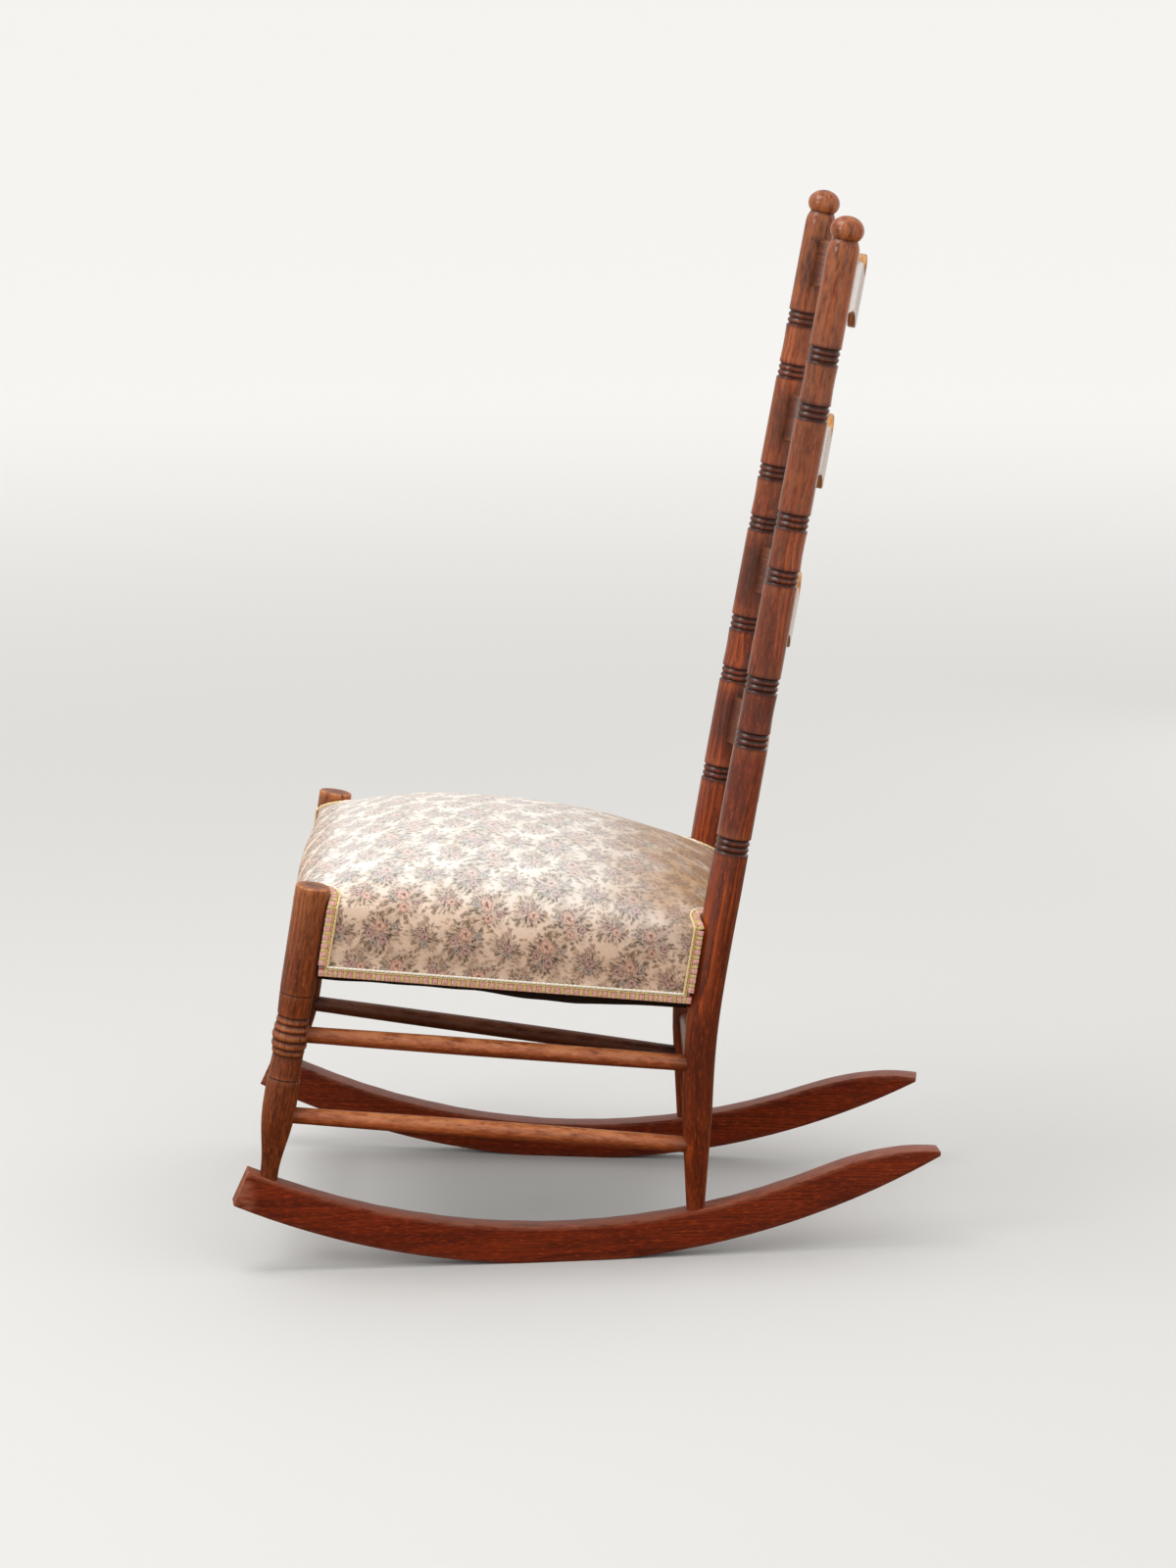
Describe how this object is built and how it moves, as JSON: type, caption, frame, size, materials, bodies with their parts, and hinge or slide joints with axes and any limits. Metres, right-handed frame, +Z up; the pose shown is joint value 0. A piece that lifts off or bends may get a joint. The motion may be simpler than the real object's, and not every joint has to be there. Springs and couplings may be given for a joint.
{
  "type": "rocking chair",
  "caption": "Low ladder-back rocking chair with turned legs and posts, bowed wavy slats, turned stretchers and a crowned seat covered in floral tapestry edged with gimp braid.",
  "frame": {"origin": "centre of the overall box on the floor, midway between the rockers", "axes": "+Z up, the chair faces -Y, and +X is the sitter's left"},
  "size_m": [0.4458, 0.656, 0.9608],
  "materials": {
    "walnut": "satin",
    "dark_wood": "satin",
    "rail_wood": "matte",
    "tapestry": "matte",
    "braid": "matte",
    "jute": "matte",
    "hair": "matte",
    "black_cloth": "matte",
    "steel": "satin"
  },
  "bodies": {
    "root": {"left_rocker": "walnut", "right_rocker": "walnut", "left_front_leg": "walnut", "right_front_leg": "walnut", "left_rear_post": "dark_wood", "right_rear_post": "dark_wood", "back_slat_1": "walnut", "back_slat_2": "walnut", "back_slat_3": "walnut", "back_slat_4": "walnut", "left_upper_stretcher": "walnut", "left_lower_stretcher": "walnut", "right_upper_stretcher": "walnut", "right_lower_stretcher": "walnut", "front_upper_stretcher": "walnut", "front_lower_stretcher": "walnut", "rear_stretcher": "walnut", "front_seat_rail": "rail_wood", "rear_seat_rail": "rail_wood", "left_seat_rail": "rail_wood", "right_seat_rail": "rail_wood", "long_webbing_1": "jute", "long_webbing_2": "jute", "long_webbing_3": "jute", "cross_webbing_1": "jute", "cross_webbing_2": "jute", "cross_webbing_3": "jute", "seat_hessian": "jute", "seat_stuffing": "hair", "seat_cover": "tapestry", "dust_cover": "black_cloth", "left_gimp": "braid", "right_gimp": "braid", "front_gimp": "braid", "rear_gimp": "braid", "left_front_rocker_screw": "steel", "right_front_rocker_screw": "steel", "left_rear_rocker_screw": "steel", "right_rear_rocker_screw": "steel"}
  },
  "joints": []
}
